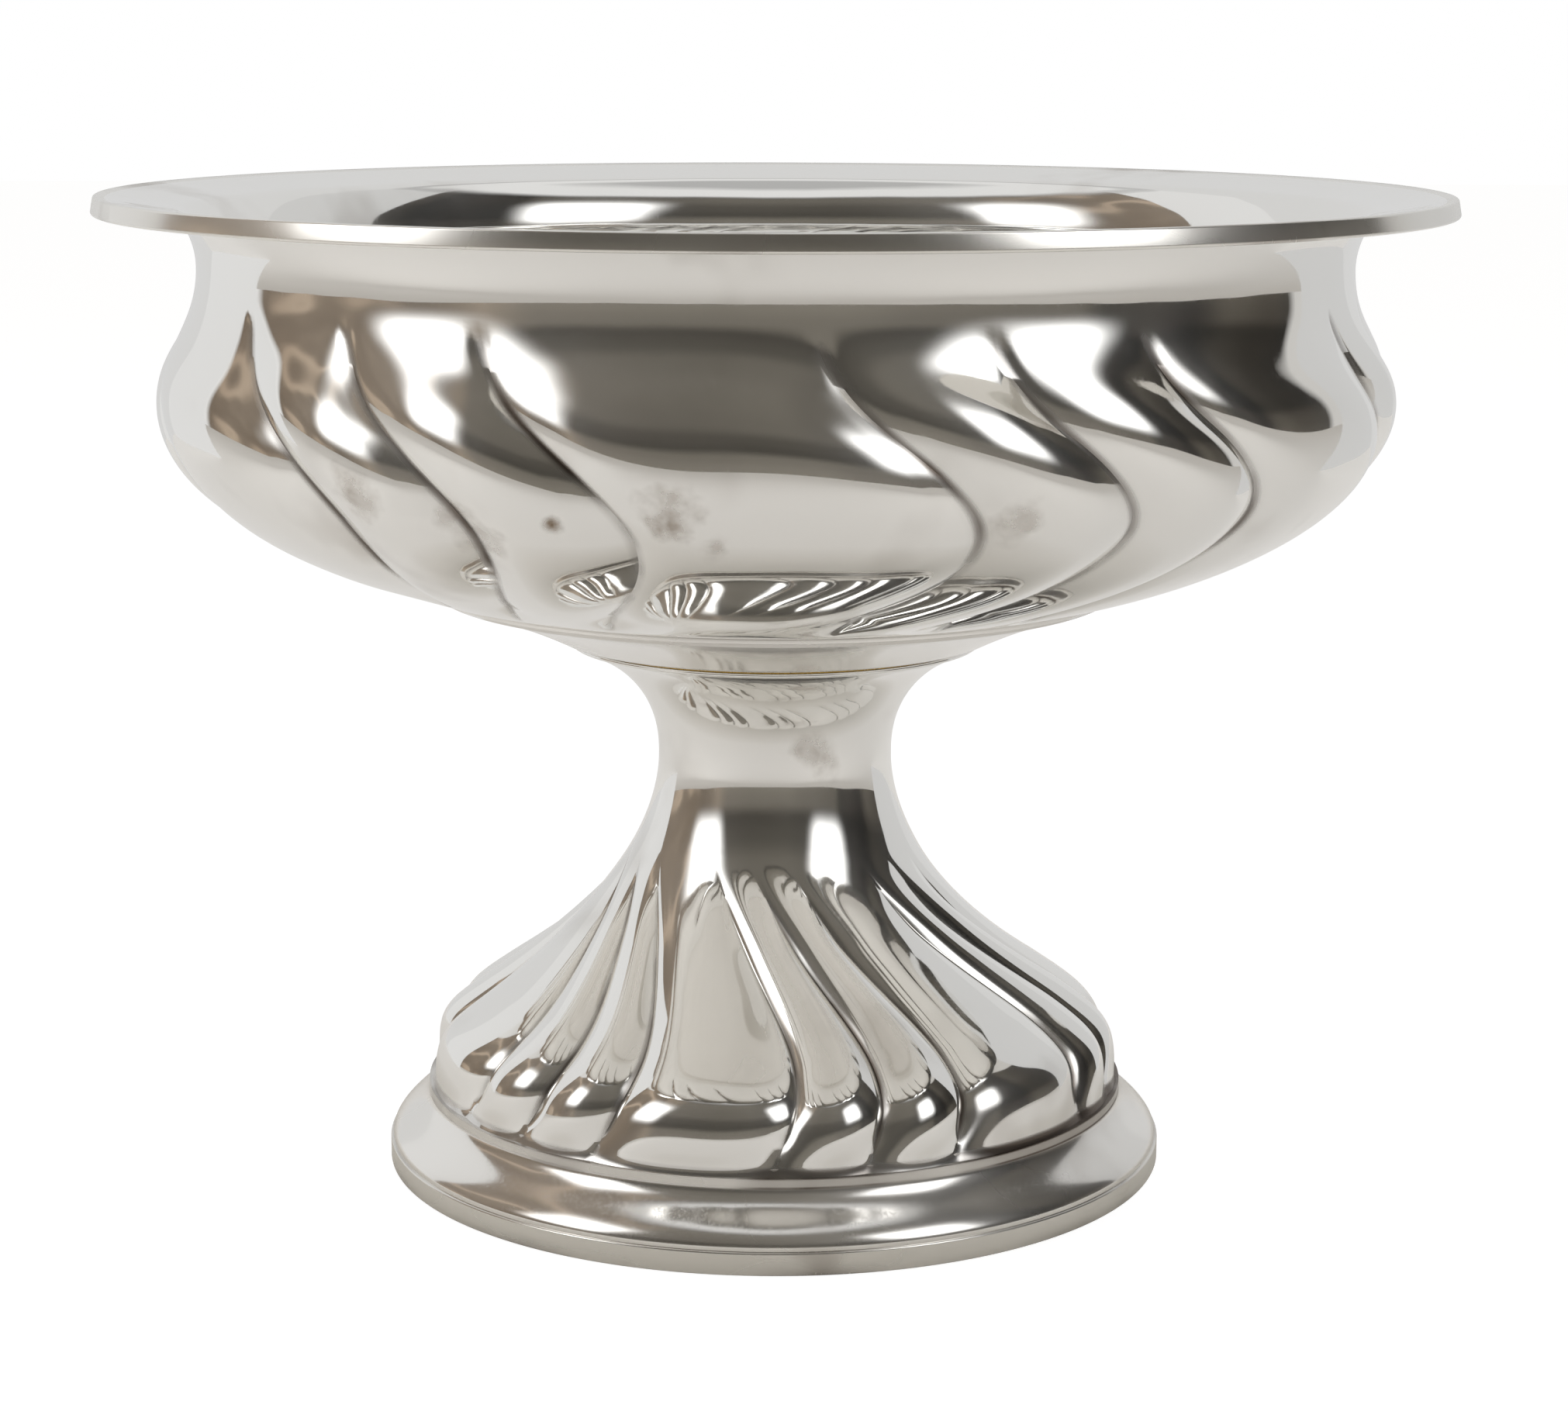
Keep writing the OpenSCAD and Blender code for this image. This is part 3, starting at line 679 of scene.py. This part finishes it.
def floor():
    """Matt white paper on a table. It has a painted shadow, a little darker under the foot, and its
    front edge, 1.1 m in front of the bowl, shows in the silver as the end of the table."""
    piece = flat_sheet("floor", (0, 1.4, 0), (6, 5))
    bpy.ops.object.transform_apply(location=True, scale=True)
    material = new_material("floor_paper")
    tree = material.node_tree
    away = add(tree, "VectorMath", links={0: add(tree, "TexCoord").outputs["Object"]},
               operation="LENGTH").outputs["Value"]
    # painted shadow: the paper's colour darkens towards the foot
    shaded = stops(add(tree, "ValToRGB", links={"Fac": away}),
                   [(0.076, "d6d3cd"), (0.1, "e4e1dc"), (0.13, "f1efec"), (1.0, "f1efec")])
    matt = add(tree, "BsdfDiffuse", links={"Color": shaded})
    # painted light: the paper glows a little, in place of the light that the room sends back to it
    lit = add(tree, "Emission", {"Strength": 0.19}, {"Color": shaded})
    paper = add(tree, "AddShader", links={0: matt, 1: lit})
    # to the camera it is white, with a faint shadow of the bowl
    white = add(tree, "Emission", {"Color": colour("ffffff"), "Strength": 0.9})
    dim = add(tree, "BsdfDiffuse", {"Color": colour("909090")})
    seen = add(tree, "AddShader", links={0: dim, 1: white})
    camera_ray = add(tree, "LightPath").outputs["Is Camera Ray"]
    both = add(tree, "MixShader", links={0: camera_ray, 1: paper, 2: seen})
    add(tree, "OutputMaterial", links={"Surface": both})
    piece.data.materials.append(material)


def room():
    """The world: white to the camera, and by direction to everything else. A turn of 0 is
    towards the camera, and 90 is to the viewer's right. White walls stand behind the bowl, and
    in front of it is an opening into a dim room."""
    world = bpy.data.worlds.new("studio")
    world.use_nodes = True
    tree = world.node_tree
    tree.nodes.clear()
    around = add(tree, "TexCoord").outputs["Generated"]
    way = add(tree, "SeparateXYZ", links={"Vector": around})
    front = add(tree, "Math", {1: -1.0}, {0: way.outputs["Y"]}, operation="MULTIPLY")
    azimuth = add(tree, "Math", links={0: way.outputs["X"], 1: front}, operation="ARCTAN2")
    turn = add(tree, "MapRange", {"From Min": -math.pi, "From Max": math.pi},
               {"Value": azimuth})
    angle = add(tree, "Math", links={0: way.outputs["Z"]}, operation="ARCSINE")
    height = add(tree, "MapRange", {"From Min": -math.pi / 2, "From Max": math.pi / 2},
                 {"Value": angle})

    def by_turn(marks, mode="EASE"):
        """A colour by direction round the bowl. Each mark is a turn in degrees and a colour."""
        ramp = add(tree, "ValToRGB", links={"Fac": turn})
        return stops(ramp, [(0.5 + a / 360, shade) for a, shade in marks], mode)

    def by_height(marks):
        """A colour by degrees over the horizon."""
        ramp = add(tree, "ValToRGB", links={"Fac": height})
        return stops(ramp, [(0.5 + e / 180, shade) for e, shade in marks], "EASE")

    def times(first, second, where=None):
        """One colour times another, all over or only where a third one is white."""
        links = {FIRST: first, SECOND: second}
        if where is not None:
            links[SHARE] = where
        return add(tree, "Mix", {SHARE: 1.0}, links, data_type="RGBA",
                   blend_type="MULTIPLY").outputs[MIXED]

    walls = times(by_height([(-10, "e6e6e6"), (20, "e7e7e7"), (50, "dedddb"), (75, "b8b4ae")]),
                  by_turn([(-179, "ecebe9"), (-150, "fffefd"), (-100, "ffffff"),
                           (100, "e3e1de"), (150, "e4e2df"), (179, "ecebe9")]))
    dim = by_turn([(-118, "c2ad97"), (-100, "d0bca6"), (-86, "c4b09a"), (-60, "9c8f80"),
                   (-45, "7c766d"), (-20, "78736a"), (10, "7b766d"), (30, "706b63"),
                   (58, "625d55"), (66, "3a3732"), (76, "3c3834"), (86, "2e2b28"),
                   (98, "59544c"), (110, "4a453e"), (120, "3a3732")])
    # folds of a light curtain in the left of the room
    folds = add(tree, "TexWave", {"Scale": 1.7, "Distortion": 6.0, "Detail": 1.0,
                                  "Detail Scale": 1.6}, {"Vector": around},
                bands_direction="X")
    folded = stops(add(tree, "ValToRGB", links={"Fac": folds.outputs["Fac"]}),
                   [(0.0, "b4b4b4"), (0.5, "bebebe"), (0.8, "dadada"), (1.0, "ffffff")])
    curtained = by_turn([(-118, "ffffff"), (-75, "ffffff"), (-50, "000000")])
    shade = by_height([(-6, "ffffff"), (6, "eeeeee"), (16, "989898"), (26, "a8a8a8"),
                       (40, "d8d8d8"), (65, "e6e6e6")])
    shade = add(tree, "Mix", {SECOND: colour("dadada")}, {SHARE: curtained, FIRST: shade},
                data_type="RGBA").outputs[MIXED]
    dark = times(times(dim, folded, curtained), shade)
    # the room's opening: its top edge, in degrees over the horizon, and its two sides
    top = by_turn([(a, 0.5 + e / 180) for a, e in ((-120, 40), (-95, 60), (-60, 72), (0, 76),
                                                   (60, 72), (95, 60), (120, 40))], "B_SPLINE")
    under = add(tree, "Math", links={0: top, 1: height}, operation="SUBTRACT")
    below = add(tree, "MapRange", {"From Min": -0.004, "From Max": 0.004}, {"Value": under},
                interpolation_type="SMOOTHSTEP")
    sides = by_turn([(-119, "000000"), (-117, "ffffff"), (117, "ffffff"), (119, "000000")],
                    "LINEAR")
    opening = add(tree, "Math", links={0: below, 1: sides}, operation="MULTIPLY")
    mirrored = add(tree, "Mix", links={SHARE: opening, FIRST: walls, SECOND: dark},
                   data_type="RGBA").outputs[MIXED]
    lit = add(tree, "Background", links={"Color": mirrored})
    white = add(tree, "Background", {"Color": (1, 1, 1, 1)})
    camera_ray = add(tree, "LightPath").outputs["Is Camera Ray"]
    both = add(tree, "MixShader", links={0: camera_ray, 1: lit, 2: white})
    add(tree, "OutputWorld", links={"Surface": both})
    scene.world = world


floor()
room()
# The soft boxes' cloth is brightest in the middle, so their reflections have no hard sides
lamp = glow("softbox_cloth", 2.8, 0.36)
softbox("left_softbox", azimuth=-63, distance=0.56, height=0.4, size=(0.46, 0.6), material=lamp)
softbox("right_softbox", azimuth=48, distance=0.56, height=0.42, size=(0.5, 0.6), material=lamp)
panel("top_ring", (0, 0, 0.62), size=(0.8, 0.8), face=(0, 0, 0), material=ring_glow())
# White paper on three sides, 1.5 m tall: how bright it is, and where it starts and ends
SHEET_TALL, SHEET_MIDDLE_Z = 1.5, 0.75
for name, level, start, end in (("left_sheet", 0.76, (-0.49, 0.17), (-0.56, 0.62)),
                                ("back_sheet", 0.68, (-0.56, 0.62), (0.5, 0.62)),
                                ("right_sheet", 0.62, (0.37, 0.12), (0.5, 0.62))):
    start, end = Vector(start), Vector(end)
    run, middle = end - start, (end + start) / 2
    panel(name, (*middle, SHEET_MIDDLE_Z), (run.length, SHEET_TALL),
          (math.radians(90), 0, math.atan2(run.y, run.x)), glow(name, level))

# The camera, solved from the ellipses of the rim and the foot: its focal length in pixels of the
# photograph, its place in metres, how far it looks down and how far it is rolled, in degrees
FRAME_PX, FOCAL_PX, SENSOR_MM = 2022, 4495.0, 36
CAMERA_AT, LOOKS_DOWN, ROLL = (0.00171, -0.6526, 0.217), 11.26, 0.151
camera = bpy.data.objects.new("camera", bpy.data.cameras.new("camera"))
scene.collection.objects.link(camera)
camera.data.sensor_width = SENSOR_MM
camera.data.lens = FOCAL_PX * SENSOR_MM / FRAME_PX
camera.location = CAMERA_AT
camera.matrix_world = (Matrix.Translation(camera.location)
                       @ Matrix.Rotation(math.radians(90 - LOOKS_DOWN), 4, "X")
                       @ Matrix.Rotation(math.radians(ROLL), 4, "Z"))
scene.camera = camera
